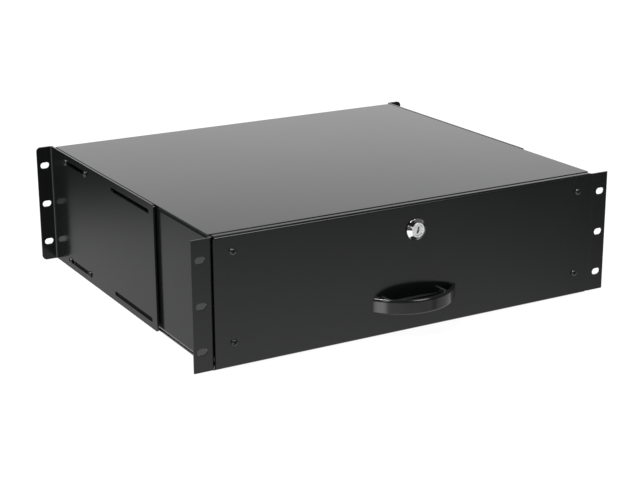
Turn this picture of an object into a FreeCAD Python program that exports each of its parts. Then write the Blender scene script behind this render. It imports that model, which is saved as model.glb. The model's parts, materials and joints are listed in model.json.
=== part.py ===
"""Sliding rack drawer, three rack units tall: ball-bearing slides, cam lock, adjustable rear brackets.

Millimetres. +X is to the right seen from the front, +Y to the rear and +Z up. The origin is the centre of
the front rack slots, on the front face of the two ears.
"""
import FreeCAD
import Part
import math
import os
import re

V = FreeCAD.Vector

# Driving dimensions, by section. Each becomes one named cell of the document's sheet.
SIZES = {
    # rack standard
    "rack_width": 482.6,
    "slot_inset": 8.75,
    "slot_rise": 44.45,
    "rack_slot_length": 10.5,
    "rack_slot_width": 7.0,
    # housing: side panels, cover, base and rear
    "ear_reach": 20.8,
    "housing_height": 129.0,
    "housing_depth": 394.5,
    "housing_sheet": 1.5,
    "housing_bend": 2.3,
    "flange_reach": 14.0,
    "flange_start": 8.0,
    "cover_sheet": 1.2,
    "cover_bend": 1.0,
    "cover_setback": 5.0,
    "cover_overhang": 0.5,
    "cover_channel_drop": 14.0,
    "cover_channel_return": 11.5,
    "cover_rear_drop": 12.0,
    "cover_side_gap": 1.0,
    "base_sheet": 1.2,
    "base_start": 12.0,
    "base_lip": 3.5,
    "rear_flange": 18.0,
    "rear_flange_inset": 16.5,
    # drawer tray
    "tray_sheet": 1.2,
    "tray_bend": 0.8,
    "tray_floor_gap": 3.3,
    "tray_top_gap": 16.5,
    "tray_overrun": 14.0,
    "tray_lip": 5.0,
    "front_wall_top_gap": 10.5,
    "wall_flange": 14.0,
    "front_flange_foot": 31.5,
    "front_flange_head": 23.5,
    # drawer front
    "front_inset": 0.5,
    "front_sheet": 1.5,
    "front_bend": 1.0,
    "front_proud": 2.0,
    "front_top_rise": 0.8,
    "front_return_gap": 0.7,
    "front_side_gap": 0.5,
    "front_bottom_notch": 7.0,
    "front_notch_height": 1.0,
    "face_screw_inset": 20.0,
    "face_screw_drop": 15.9,
    "face_screw_lift": 24.2,
    # telescopic slides
    "slide_rear_gap": 36.5,
    "slide_height": 45.0,
    "slide_depth": 12.7,
    "slide_centre": -5.0,
    "slide_sheet": 1.2,
    "slide_setback": 8.0,
    "outer_lip_at": 9.6,
    "outer_lip_drop": 3.4,
    "middle_sheet": 1.1,
    "middle_web_at": 2.6,
    "middle_lip_at": 10.6,
    "middle_lip_drop": 3.9,
    "middle_setback": 10.0,
    "middle_rear_inset": 2.0,
    "inner_edge_at": 5.2,
    "inner_advance": 4.0,
    "ball_diameter": 3.5,
    "race_gap": 0.05,
    "ball_count": 3,
    "cage_sheet": 0.6,
    "cage_gap": 0.4,
    "cage_ball_gap": 0.1,
    "cage_edge_gap": 0.2,
    "outer_cage_inset": 92.0,
    "outer_cage_length": 150.0,
    "inner_cage_inset": 97.0,
    "inner_cage_length": 160.0,
    "rivet_diameter": 4.0,
    "rivet_head_diameter": 7.0,
    "rivet_head_height": 1.0,
    "rivet_head_crown": 0.7,
    "rivet_front": 152.0,
    "rivet_rear_inset": 28.0,
    "tray_rivet_front": 56.0,
    "tray_rivet_rear_inset": 44.0,
    # cam lock
    "lock_drop": 25.5,
    "lock_flange_diameter": 22.0,
    "lock_flange_thickness": 1.2,
    "lock_flange_chamfer": 0.5,
    "bezel_diameter": 14.6,
    "bezel_base_diameter": 20.6,
    "bezel_reach": 4.5,
    "bezel_chamfer": 0.8,
    "plug_chamfer": 0.3,
    "barrel_diameter": 15.0,
    "barrel_hole_gap": 0.2,
    "barrel_end_gap": 0.3,
    "plug_diameter": 11.0,
    "plug_gap": 0.05,
    "plug_recess": 0.4,
    "keyway_width": 1.6,
    "keyway_height": 7.0,
    "keyway_depth": 9.0,
    "lock_nut_flats": 19.0,
    "lock_nut_thickness": 3.0,
    "cam_gap": 0.5,
    "cam_sheet": 2.0,
    "cam_width": 12.0,
    "cam_reach": 21.5,
    "cam_tip_radius": 2.0,
    "cam_square": 6.0,
    "cam_fit": 0.05,
    "cam_screw_diameter": 3.0,
    "cam_screw_length": 8.0,
    "cam_screw_head_diameter": 8.5,
    "cam_screw_head_height": 2.0,
    "cam_screw_head_crown": 0.9,
    # pull handle
    "handle_width": 97.0,
    "handle_reach": 25.5,
    "handle_lift": 26.0,
    "handle_height": 13.5,
    "handle_wall": 2.5,
    "handle_floor": 2.5,
    "handle_rim_radius": 0.9,
    "handle_bottom_radius": 3.0,
    "handle_screw_spacing": 64.0,
    "handle_boss_diameter": 9.0,
    "handle_boss_length": 9.5,
    "handle_boss_floor": 1.5,
    "handle_screw_gap": 1.0,
    # adjustable rear brackets
    "bracket_sheet": 2.0,
    "bracket_bend": 1.5,
    "bracket_gap": 1.8,
    "bracket_rise": 1.2,
    "bracket_length": 281.0,
    "bracket_standoff": 7.5,
    "bracket_corner": 5.0,
    "bracket_front_corner": 2.5,
    "bracket_travel": 25.0,
    "adjust_inset": 8.0,
    "adjust_slot_width": 4.6,
    "front_slot_inset": 11.0,
    "front_slot_length": 96.0,
    "rear_slot_inset": 42.0,
    "rear_slot_length": 67.0,
    "screw_end_inset": 5.0,
    "spacer_diameter": 9.0,
    # fasteners
    "screw_diameter": 4.0,
    "screw_hole_gap": 0.25,
    "screw_head_diameter": 7.0,
    "screw_head_height": 2.2,
    "screw_head_crown": 1.1,
    "screw_tail": 1.0,
    "nut_flats": 7.0,
    "nut_thickness": 3.2,
    "thread_gap": 0.03,
}

doc = FreeCAD.newDocument("rack_drawer")
sheet = doc.addObject("Spreadsheet::Sheet", "Sizes")
for row, (alias, number) in enumerate(SIZES.items(), start=1):
    sheet.set("A%d" % row, alias)
    sheet.set("B%d" % row, str(number))
    sheet.setAlias("B%d" % row, alias)
doc.recompute()


class Values:
    """The sheet's numbers, read by name."""

    def __getattr__(self, alias):
        return float(getattr(sheet, alias))


size = Values()
exported = []

# Where the pieces meet, worked out once from the driving dimensions.
WALL_OUT = size.rack_width / 2 - size.ear_reach
WALL_IN = WALL_OUT - size.housing_sheet
TOP = size.housing_height / 2
BOTTOM = -size.housing_height / 2
COVER_TOP = TOP + size.cover_sheet
BASE_TOP = BOTTOM + size.housing_sheet + size.base_sheet
FACE = -size.front_proud
FACE_BACK = FACE + size.front_sheet
TRAY_WALL_BACK = FACE_BACK + size.tray_sheet
TRAY_OUT = WALL_IN - size.slide_depth
TRAY_IN = TRAY_OUT - size.tray_sheet
TRAY_BOTTOM = BASE_TOP + size.tray_floor_gap
TRAY_TOP = TOP - size.tray_top_gap
SLIDE_REAR = size.housing_depth - size.slide_rear_gap
TRAY_REAR = SLIDE_REAR + size.tray_overrun
FRONT_HALF = WALL_OUT - size.front_inset
CHANNEL_REAR = size.cover_setback + size.cover_channel_return
CAM_FRONT = CHANNEL_REAR + size.cam_gap
BRACKET_IN = WALL_OUT + size.bracket_gap
BRACKET_OUT = BRACKET_IN + size.bracket_sheet
BRACKET_REAR = size.housing_depth + size.bracket_standoff
BRACKET_FRONT = BRACKET_REAR - size.bracket_length
FRONT_SLOT_START = BRACKET_FRONT + size.front_slot_inset
REAR_SLOT_END = BRACKET_REAR - size.rear_slot_inset
REAR_SLOT_START = REAR_SLOT_END - size.rear_slot_length
ADJUST_RISE = TOP - size.adjust_inset
LOCK_LEVEL = TOP - size.lock_drop
HANDLE_BOTTOM = BOTTOM + size.handle_lift
HANDLE_TOP = HANDLE_BOTTOM + size.handle_height
HANDLE_MIDDLE = HANDLE_BOTTOM + size.handle_height / 2
BALL_RADIUS = size.ball_diameter / 2
RACE_RADIUS = BALL_RADIUS + size.race_gap
BRACKET_SCREWS_AT = (REAR_SLOT_START + size.screw_end_inset, REAR_SLOT_END - size.screw_end_inset)
HOUSING_RIVETS_AT = (size.slide_setback + size.rivet_front, SLIDE_REAR - size.rivet_rear_inset)
TRAY_RIVETS_AT = (
    size.slide_setback - size.inner_advance + size.tray_rivet_front,
    SLIDE_REAR - size.inner_advance - size.tray_rivet_rear_inset,
)
FACE_SCREWS_AT = [
    (side * (WALL_OUT - size.face_screw_inset), level)
    for side in (-1, 1)
    for level in (BOTTOM + size.face_screw_lift, TOP - size.face_screw_drop)
]
BODY_HALF = "(rack_width / 2 - ear_reach)"
INSIDE_HALF = "(rack_width / 2 - ear_reach - housing_sheet)"
LOW = "-housing_height / 2"
FRONT_BACK = "front_sheet - front_proud"
SLIDE_LENGTH = "housing_depth - slide_rear_gap - slide_setback"
LOCK_AT = "housing_height / 2 - lock_drop"
TRAY_END = "housing_depth - slide_rear_gap + tray_overrun"
RACK_SLOTS_AT = (-size.slot_rise, 0.0, size.slot_rise)
SIDES = {"left": -1, "right": 1}
NEAR = 0.01
NEARLY_ROUND = 0.98


# Outlines: lists of corners (x, y, corner radius).


def rectangle(x_low, x_high, y_low, y_high, radius=0.0):
    corners = [(x_low, y_low), (x_high, y_low), (x_high, y_high), (x_low, y_high)]
    return [(x, y, radius) for x, y in corners]


def slot(x_low, x_high, y_middle, width):
    """A slot with round ends along x."""
    half = width / 2
    return rectangle(x_low, x_high, y_middle - half, y_middle + half, half)


def rack_slots(side):
    """The three slots of one ear, across its column."""
    middle = side * (size.rack_width / 2 - size.slot_inset)
    half = size.rack_slot_length / 2
    return [slot(middle - half, middle + half, rise, size.rack_slot_width) for rise in RACK_SLOTS_AT]


def folded(path, thickness, inner_radius):
    """The section of a folded sheet that lies to the left of the path, with its bends rounded."""
    points = [V(x, y, 0) for x, y in path]
    ways = [(after - before).normalize() for before, after in zip(points, points[1:])]
    lefts = [V(-way.y, way.x, 0) for way in ways]
    near = [(points[0].x, points[0].y, 0.0)]
    start = points[0] + lefts[0] * thickness
    far = [(start.x, start.y, 0.0)]
    for point, left_before, left_after, before, after in zip(points[1:-1], lefts, lefts[1:], ways, ways[1:]):
        turns_left = before.cross(after).z > 0
        bisector = left_before + left_after
        offset = point + bisector * (thickness * 2 / bisector.dot(bisector))
        wide = inner_radius + thickness
        near.append((point.x, point.y, wide if turns_left else inner_radius))
        far.append((offset.x, offset.y, inner_radius if turns_left else wide))
    end = points[-1] + lefts[-1] * thickness
    near.append((points[-1].x, points[-1].y, 0.0))
    far.append((end.x, end.y, 0.0))
    return near + far[::-1]


def mirrored(outline, side):
    """The outline on the right (side 1) or reflected to the left (side -1)."""
    return [(side * x, y, radius) for x, y, radius in outline]


def draw_outline(sketch, corners):
    """Adds the closed outline to the sketch as lines and tangent arcs."""
    joins = []
    for index, (x, y, radius) in enumerate(corners):
        corner = V(x, y, 0)
        before = V(*corners[index - 1][:2], 0) - corner
        after = V(*corners[(index + 1) % len(corners)][:2], 0) - corner
        before.normalize()
        after.normalize()
        if radius <= 0:
            joins.append((corner, corner))
            continue
        half = before.getAngle(after) / 2
        centre = corner + (before + after).normalize() * (radius / math.sin(half))
        start = corner + before * (radius / math.tan(half))
        end = corner + after * (radius / math.tan(half))
        middle = centre + (corner - centre).normalize() * radius
        sketch.addGeometry(Part.Arc(start, middle, end), False)
        joins.append((start, end))
    for index, (start, _) in enumerate(joins):
        previous_end = joins[index - 1][1]
        if (start - previous_end).Length > 1e-6:
            sketch.addGeometry(Part.LineSegment(previous_end, start), False)


# Features: each plane's sketches look along one axis, and every pad and pocket runs towards its plus side.
PLANES = {"XY_Plane": (1, False, True), "XZ_Plane": (-1, True, False), "YZ_Plane": (1, False, True)}


def bind(thing, property_name, formula):
    """Binds a property to a formula of the sheet's names."""
    cells = re.sub(r"[a-z][a-z_]+", lambda word: "Sizes." + word.group(), formula)
    thing.setExpression(property_name, cells)


def new_body(name):
    body = doc.addObject("PartDesign::Body", name)
    body.Label = name
    exported.append(body)
    return body


def sketch_on(body, name, plane, start):
    sketch = body.newObject("Sketcher::SketchObject", name)
    support = next(item for item in body.Origin.OriginFeatures if item.Role == plane)
    sketch.AttachmentSupport = [(support, "")]
    sketch.MapMode = "FlatFace"
    sign = PLANES[plane][0]
    if start:
        bind(sketch, "AttachmentOffset.Base.z", start if sign > 0 else "-(%s)" % start)
    return sketch


def solid_volume(body):
    return body.Shape.Volume if body.Shape and not body.Shape.isNull() else 0.0


def add_feature(kind, body, name, plane, outlines, start, length, circles):
    before = solid_volume(body)
    sketch = sketch_on(body, name + "_sketch", plane, start)
    for outline in outlines:
        draw_outline(sketch, outline)
    for x, y, radius in circles:
        sketch.addGeometry(Part.Circle(V(x, y, 0), V(0, 0, 1), radius), False)
    feature = body.newObject("PartDesign::" + kind, name)
    feature.Profile = sketch
    feature.Reversed = PLANES[plane][1 if kind == "Pad" else 2]
    bind(feature, "Length", length)
    doc.recompute()
    change = solid_volume(body) - before
    if (change <= 0) == (kind == "Pad"):
        raise ValueError("%s does not change %s" % (name, body.Label))
    return feature


def pad(body, name, plane, outlines, start, length, circles=()):
    """Adds material from the plane at start, over length."""
    return add_feature("Pad", body, name, plane, outlines, start, length, circles)


def pocket(body, name, plane, outlines, start, length, circles=()):
    """Takes material away from the plane at start, over length."""
    return add_feature("Pocket", body, name, plane, outlines, start, length, circles)


def revolve(body, name, corners, height):
    """Turns an outline of (radius, along Y) corners about the Y axis at the given height."""
    sketch = body.newObject("Sketcher::SketchObject", name + "_sketch")
    support = next(item for item in body.Origin.OriginFeatures if item.Role == "XY_Plane")
    sketch.AttachmentSupport = [(support, "")]
    sketch.MapMode = "FlatFace"
    bind(sketch, "AttachmentOffset.Base.z", height)
    draw_outline(sketch, corners)
    feature = body.newObject("PartDesign::Revolution", name)
    feature.Profile = sketch
    feature.ReferenceAxis = (sketch, ["V_Axis"])
    feature.Angle = 360
    doc.recompute()
    return feature


def round_edges(body, name, radius_name, chosen):
    """Fillets the edges for which chosen(edge) is true."""
    base = body.Tip
    names = ["Edge%d" % number for number, edge in enumerate(base.Shape.Edges, start=1) if chosen(edge)]
    if not names:
        raise ValueError("%s finds no edge" % name)
    fillet = body.newObject("PartDesign::Fillet", name)
    fillet.Base = (base, names)
    bind(fillet, "Radius", radius_name)
    doc.recompute()
    return fillet


def group(name, shapes):
    """One node of separate equal solids, such as the screws of one joint."""
    feature = doc.addObject("Part::Feature", name)
    feature.Label = name
    feature.Shape = Part.makeCompound(shapes)
    exported.append(feature)
    return feature


def turned(corners, origin, direction):
    """A solid of revolution: (radius, along) corners turned about direction through origin."""
    points = [V(radius, 0, along) for radius, along in corners]
    solid = Part.Face(Part.makePolygon(points + points[:1])).revolve(V(0, 0, 0), V(0, 0, 1), 360)
    solid.Placement = FreeCAD.Placement(origin, FreeCAD.Rotation(V(0, 0, 1), direction))
    return solid


def pan_screw(origin, direction, length):
    """A pan-head machine screw whose head seats at origin; direction points along its shank."""
    shank = size.screw_diameter / 2
    corners = crowned_head(size.screw_head_diameter / 2, size.screw_head_height, size.screw_head_crown)
    return turned(corners + [(shank, 0), (shank, length), (0, length)], origin, direction)


def crowned_head(radius, tall, crown):
    """The (radius, along) outline of a round head whose top edge is taken down by its crown."""
    return [(0, -tall), (radius - crown, -tall), (radius, crown - tall), (radius, 0)]


def washer(origin, direction, outer, inner, thickness):
    corners = [(inner, 0), (outer, 0), (outer, thickness), (inner, thickness)]
    return turned(corners, origin, direction)


def hex_nut(origin, direction, flats, bore, thickness):
    corner = flats / math.sqrt(3)
    points = [V(corner, 0, 0)]
    for step in range(1, 7):
        points.append(V(corner * math.cos(step * math.pi / 3), corner * math.sin(step * math.pi / 3), 0))
    prism = Part.Face(Part.makePolygon(points[:6] + points[:1])).extrude(V(0, 0, thickness))
    nut = prism.cut(Part.makeCylinder(bore, thickness))
    nut.Placement = FreeCAD.Placement(origin, FreeCAD.Rotation(V(0, 0, 1), direction))
    return nut


def rivet(origin, direction, length):
    """A low-headed rivet, flush at the far end of its shank."""
    shank = size.rivet_diameter / 2
    corners = crowned_head(size.rivet_head_diameter / 2, size.rivet_head_height, size.rivet_head_crown)
    return turned(corners + [(shank, 0), (shank, length), (0, length)], origin, direction)


# Housing


def side_panel(name, side):
    """A folded side: wall, inward top and bottom flanges, and the front ear with its rack slots."""
    body = new_body(name)
    reach = WALL_OUT - size.flange_reach
    section = folded(
        [(reach, BOTTOM), (WALL_OUT, BOTTOM), (WALL_OUT, TOP), (reach, TOP)],
        size.housing_sheet,
        size.housing_bend,
    )
    pad(body, name + "_channel", "XZ_Plane", [mirrored(section, side)], "flange_start",
        "housing_depth - flange_start")
    ear = folded(
        [(WALL_IN, size.flange_start), (WALL_IN, 0), (size.rack_width / 2, 0)],
        size.housing_sheet,
        size.housing_bend,
    )
    pad(body, name + "_ear", "XY_Plane", [mirrored(ear, side)], LOW, "housing_height")
    pocket(body, name + "_rack_slots", "XZ_Plane", rack_slots(side), "", "housing_sheet")
    end = REAR_SLOT_END + size.bracket_travel
    slots = [slot(REAR_SLOT_START, end, rise, size.adjust_slot_width) for rise in (-ADJUST_RISE, ADJUST_RISE)]
    holes = [(along, size.slide_centre, size.rivet_diameter / 2) for along in HOUSING_RIVETS_AT]
    wall_start = INSIDE_HALF if side > 0 else "-" + BODY_HALF
    pocket(body, name + "_wall_openings", "YZ_Plane", slots, wall_start, "housing_sheet", holes)


def top_cover():
    """The cover plate, with a channel folded at the front, which the cam hooks behind, and a rear lip."""
    body = new_body("top_cover")
    front = size.cover_setback
    rear = size.housing_depth + size.cover_bend + size.cover_sheet
    half = WALL_OUT + size.cover_overhang
    roll = size.cover_bend + size.cover_sheet
    plate = rectangle(-half, half, front + roll, rear - roll)
    pad(body, "cover_plate", "XY_Plane", [plate], "housing_height / 2", "cover_sheet")
    section = folded(
        [
            (rear, COVER_TOP - size.cover_rear_drop),
            (rear, COVER_TOP),
            (front, COVER_TOP),
            (front, COVER_TOP - size.cover_channel_drop),
            (CHANNEL_REAR, COVER_TOP - size.cover_channel_drop),
        ],
        size.cover_sheet,
        size.cover_bend,
    )
    pad(body, "cover_folds", "YZ_Plane", [section], "cover_side_gap - " + INSIDE_HALF,
        "2 * (%s - cover_side_gap)" % INSIDE_HALF)


def base_pan():
    """The floor of the housing, resting on the side panels' bottom flanges."""
    body = new_body("base_pan")
    rear = size.housing_depth - size.housing_sheet
    low = BOTTOM + size.housing_sheet
    section = folded(
        [(size.base_start, low + size.base_lip), (size.base_start, low), (rear, low)],
        size.base_sheet,
        size.tray_bend,
    )
    pad(body, "base_floor", "YZ_Plane", [section], "housing_bend - " + INSIDE_HALF,
        "2 * (%s - housing_bend)" % INSIDE_HALF)


def rear_panel():
    """The rear wall, with flanges folded forward inside the side panels."""
    body = new_body("rear_panel")
    front = size.housing_depth - size.rear_flange
    section = folded(
        [(WALL_IN, front), (WALL_IN, size.housing_depth), (-WALL_IN, size.housing_depth), (-WALL_IN, front)],
        size.housing_sheet,
        size.housing_bend,
    )
    pad(body, "rear_flanges", "XY_Plane", [section], LOW + " + rear_flange_inset",
        "housing_height - 2 * rear_flange_inset")
    half = WALL_IN - size.housing_bend
    plate = rectangle(-half, half, BASE_TOP, TOP - size.housing_sheet)
    pad(body, "rear_wall", "XZ_Plane", [plate], "housing_depth - housing_sheet", "housing_sheet")


# Telescopic slides: u runs from the housing wall towards the tray, v up from the slide's middle line.


def slide_section(side, path, thickness, inner_radius):
    """A rolled slide section from (u, v) points, placed against the housing wall of its side."""
    outline = folded(path, thickness, inner_radius)
    return [(side * (WALL_IN - u), size.slide_centre + v, radius) for u, v, radius in outline]


def ball_rows():
    """The (u, v) centres of the upper outer and upper inner rows of balls."""
    outer_u = size.outer_lip_at - size.slide_sheet - RACE_RADIUS
    outer_v = size.slide_height / 2 - size.slide_sheet - RACE_RADIUS
    inner_u = size.middle_lip_at - size.middle_sheet - RACE_RADIUS
    inner_v = outer_v - RACE_RADIUS - size.middle_sheet - RACE_RADIUS
    return (outer_u, outer_v), (inner_u, inner_v)


def slide_members(side_name, side):
    """The three rolled members of one slide: on the housing, in the middle and on the tray."""
    (_, outer_v), (_, inner_v) = ball_rows()
    half = size.slide_height / 2
    lip = size.outer_lip_at
    outer = slide_section(
        side,
        [(lip, half - size.outer_lip_drop), (lip, half), (0, half), (0, -half), (lip, -half),
         (lip, -half + size.outer_lip_drop)],
        size.slide_sheet,
        RACE_RADIUS,
    )
    body = new_body(side_name + "_slide_outer_member")
    pad(body, side_name + "_outer_profile", "XZ_Plane", [outer], "slide_setback", SLIDE_LENGTH)
    wall_start = INSIDE_HALF + " - slide_sheet" if side > 0 else "-" + INSIDE_HALF
    holes = [(along, size.slide_centre, size.rivet_diameter / 2) for along in HOUSING_RIVETS_AT]
    pocket(body, side_name + "_outer_holes", "YZ_Plane", [], wall_start, "slide_sheet", holes)

    top = outer_v - RACE_RADIUS
    web = size.middle_web_at
    lip = size.middle_lip_at
    middle = slide_section(
        side,
        [(lip, top - size.middle_lip_drop), (lip, top), (web, top), (web, -top), (lip, -top),
         (lip, -top + size.middle_lip_drop)],
        size.middle_sheet,
        RACE_RADIUS,
    )
    body = new_body(side_name + "_slide_middle_member")
    pad(body, side_name + "_middle_profile", "XZ_Plane", [middle], "middle_setback",
        "housing_depth - slide_rear_gap - middle_rear_inset - middle_setback")

    top = inner_v - RACE_RADIUS
    edge = size.inner_edge_at
    depth = size.slide_depth
    inner = slide_section(
        side,
        [(edge, -top), (depth, -top), (depth, top), (edge, top)],
        size.slide_sheet,
        size.tray_bend,
    )
    body = new_body(side_name + "_slide_inner_member")
    pad(body, side_name + "_inner_profile", "XZ_Plane", [inner], "slide_setback - inner_advance",
        SLIDE_LENGTH)
    holes = [(along, size.slide_centre, size.rivet_diameter / 2) for along in TRAY_RIVETS_AT]
    wall_start = INSIDE_HALF + " - slide_depth" if side > 0 else "slide_depth - slide_sheet - " + INSIDE_HALF
    pocket(body, side_name + "_inner_holes", "YZ_Plane", [], wall_start, "slide_sheet", holes)


def ball_positions(start, length):
    """Where the balls of one row lie along the cage."""
    pitch = length / size.ball_count
    return [start + pitch * (index + 0.5) for index in range(int(size.ball_count))]


def ball_cage(name, side, row, web_at, edge_at, inset_name, length_name):
    """A thin folded strip that holds an upper and a lower row of balls in open pockets."""
    ball_u, ball_v = row
    level = ball_v + size.cage_sheet / 2
    section = slide_section(
        side,
        [(edge_at, level), (web_at, level), (web_at, -level), (edge_at, -level)],
        size.cage_sheet,
        size.cage_sheet / 2,
    )
    body = new_body(name)
    pad(body, name + "_strip", "XZ_Plane", [section], "slide_setback + " + inset_name, length_name)
    start = size.slide_setback + getattr(size, inset_name)
    length = getattr(size, length_name)
    pocket_radius = BALL_RADIUS + size.cage_ball_gap
    across = side * (WALL_IN - ball_u)
    holes = [(across, along, pocket_radius) for along in ball_positions(start, length)]
    pocket(body, name + "_pockets", "XY_Plane", [], "slide_centre - slide_height / 2", "slide_height", holes)
    balls = [
        Part.makeSphere(BALL_RADIUS, V(across, along, size.slide_centre + level_sign * ball_v))
        for along in ball_positions(start, length)
        for level_sign in (-1, 1)
    ]
    group(name.replace("_ball_cage", "_balls"), balls)


def slide_cages(side_name, side):
    outer_row, inner_row = ball_rows()
    ball_cage(
        side_name + "_outer_ball_cage", side, outer_row,
        size.slide_sheet + size.cage_gap,
        size.outer_lip_at - size.slide_sheet - size.cage_edge_gap,
        "outer_cage_inset", "outer_cage_length",
    )
    ball_cage(
        side_name + "_inner_ball_cage", side, inner_row,
        size.middle_web_at + size.middle_sheet + size.cage_gap,
        size.middle_lip_at - size.middle_sheet - size.cage_edge_gap,
        "inner_cage_inset", "inner_cage_length",
    )


def slide_rivets():
    """Rivets of the slides' outer members to the housing and of the inner members to the tray."""
    through_wall = size.housing_sheet + size.slide_sheet
    through_tray = size.tray_sheet + size.slide_sheet
    housing = []
    tray = []
    for side in SIDES.values():
        for along in HOUSING_RIVETS_AT:
            housing.append(rivet(V(side * WALL_OUT, along, size.slide_centre), V(-side, 0, 0), through_wall))
        for along in TRAY_RIVETS_AT:
            tray.append(rivet(V(side * TRAY_IN, along, size.slide_centre), V(side, 0, 0), through_tray))
    group("slide_housing_rivets", housing)
    group("slide_tray_rivets", tray)


# Drawer


def drawer_tray():
    """The tray's floor and sides, folded from one sheet, with outward stiffening lips."""
    body = new_body("drawer_tray")
    lip = TRAY_OUT + size.tray_lip
    section = folded(
        [(-lip, TRAY_TOP), (-TRAY_OUT, TRAY_TOP), (-TRAY_OUT, TRAY_BOTTOM), (TRAY_OUT, TRAY_BOTTOM),
         (TRAY_OUT, TRAY_TOP), (lip, TRAY_TOP)],
        size.tray_sheet,
        size.tray_bend,
    )
    start = FRONT_BACK + " + tray_sheet"
    pad(body, "tray_section", "XZ_Plane", [section], start, "%s - (%s)" % (TRAY_END, start))
    holes = [(along, size.slide_centre, size.rivet_diameter / 2) for along in TRAY_RIVETS_AT]
    for side_name, start in (
        ("left", "slide_depth - " + INSIDE_HALF),
        ("right", INSIDE_HALF + " - slide_depth - tray_sheet"),
    ):
        pocket(body, "tray_%s_holes" % side_name, "YZ_Plane", [], start, "tray_sheet", holes)


def tray_front_wall():
    """The tray's front wall, which backs the drawer front, with side flanges inside the tray."""
    body = new_body("tray_front_wall")
    plate = rectangle(-TRAY_OUT, TRAY_OUT, TRAY_BOTTOM, TOP - size.front_wall_top_gap)
    pad(body, "front_wall_plate", "XZ_Plane", [plate], FRONT_BACK, "tray_sheet")
    rear = FACE_BACK + size.wall_flange
    section = folded(
        [(-TRAY_IN, rear), (-TRAY_IN, FACE_BACK), (TRAY_IN, FACE_BACK), (TRAY_IN, rear)],
        size.tray_sheet,
        size.tray_bend,
    )
    pad(body, "front_wall_flanges", "XY_Plane", [section], LOW + " + front_flange_foot",
        "housing_height - front_flange_foot - front_flange_head")
    pocket(body, "front_wall_holes", "XZ_Plane", [], FRONT_BACK, "tray_sheet", front_holes())


def front_holes():
    """Holes for the lock barrel, the face screws and the handle screws, in the front and its backing wall."""
    screw = size.screw_diameter / 2 + size.screw_hole_gap
    holes = [(0, LOCK_LEVEL, size.barrel_diameter / 2 + size.barrel_hole_gap)]
    holes += [(x, z, screw) for x, z in FACE_SCREWS_AT]
    holes += [(side * size.handle_screw_spacing / 2, HANDLE_MIDDLE, screw) for side in (-1, 1)]
    return holes


def tray_rear_wall():
    """The tray's rear wall, with flanges folded forward inside the tray."""
    body = new_body("tray_rear_wall")
    front = TRAY_REAR - size.wall_flange
    section = folded(
        [(TRAY_IN, front), (TRAY_IN, TRAY_REAR), (-TRAY_IN, TRAY_REAR), (-TRAY_IN, front)],
        size.tray_sheet,
        size.tray_bend,
    )
    low = LOW + " + housing_sheet + base_sheet + tray_floor_gap + tray_sheet + tray_bend"
    pad(body, "rear_wall_section", "XY_Plane", [section], low,
        "housing_height / 2 - tray_top_gap - tray_sheet - (%s)" % low)
    half = TRAY_IN - size.tray_bend
    floor = TRAY_BOTTOM + size.tray_sheet
    foot = rectangle(-half, half, floor, floor + size.tray_bend)
    pad(body, "rear_wall_foot", "XZ_Plane", [foot], TRAY_END + " - tray_sheet", "tray_sheet")


def drawer_front():
    """The face of the drawer: a plate with returns folded back along its top and bottom edges."""
    body = new_body("drawer_front")
    top = TOP + size.front_top_rise
    roll = size.front_bend + size.front_sheet
    plate = rectangle(-FRONT_HALF, FRONT_HALF, BOTTOM + size.front_notch_height, top - roll)
    pad(body, "front_plate", "XZ_Plane", [plate], "-front_proud", "front_sheet")
    top_return = folded(
        [(size.cover_setback - size.front_return_gap, top), (FACE, top), (FACE, 0)],
        size.front_sheet,
        size.front_bend,
    )
    pad(body, "front_top_return", "YZ_Plane", [top_return],
        "front_side_gap - " + INSIDE_HALF, "2 * (%s - front_side_gap)" % INSIDE_HALF)
    bottom_return = folded(
        [(FACE, 0), (FACE, BOTTOM), (size.flange_start - size.front_return_gap, BOTTOM)],
        size.front_sheet,
        size.front_bend,
    )
    pad(body, "front_bottom_return", "YZ_Plane", [bottom_return],
        "front_inset + front_bottom_notch - " + BODY_HALF,
        "2 * (%s - front_inset - front_bottom_notch)" % BODY_HALF)
    pocket(body, "front_holes", "XZ_Plane", [], "-front_proud", "front_sheet", front_holes())


def face_fasteners():
    """The four face screws and the nuts that draw the front against the tray."""
    grip = size.front_sheet + size.tray_sheet
    length = grip + size.nut_thickness + size.screw_tail
    bore = size.screw_diameter / 2 + size.thread_gap
    screws = [pan_screw(V(x, FACE, z), V(0, 1, 0), length) for x, z in FACE_SCREWS_AT]
    nuts = [
        hex_nut(V(x, TRAY_WALL_BACK, z), V(0, 1, 0), size.nut_flats, bore, size.nut_thickness)
        for x, z in FACE_SCREWS_AT
    ]
    group("face_screws", screws)
    group("face_nuts", nuts)


# Pull handle


def half_moon(width_half, chord_at, radius, centre):
    """The arc and the chord of a half-moon seen from above."""
    left = V(-width_half, chord_at, 0)
    right = V(width_half, chord_at, 0)
    return Part.Arc(left, V(0, centre - radius, 0), right), Part.LineSegment(right, left)


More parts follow.
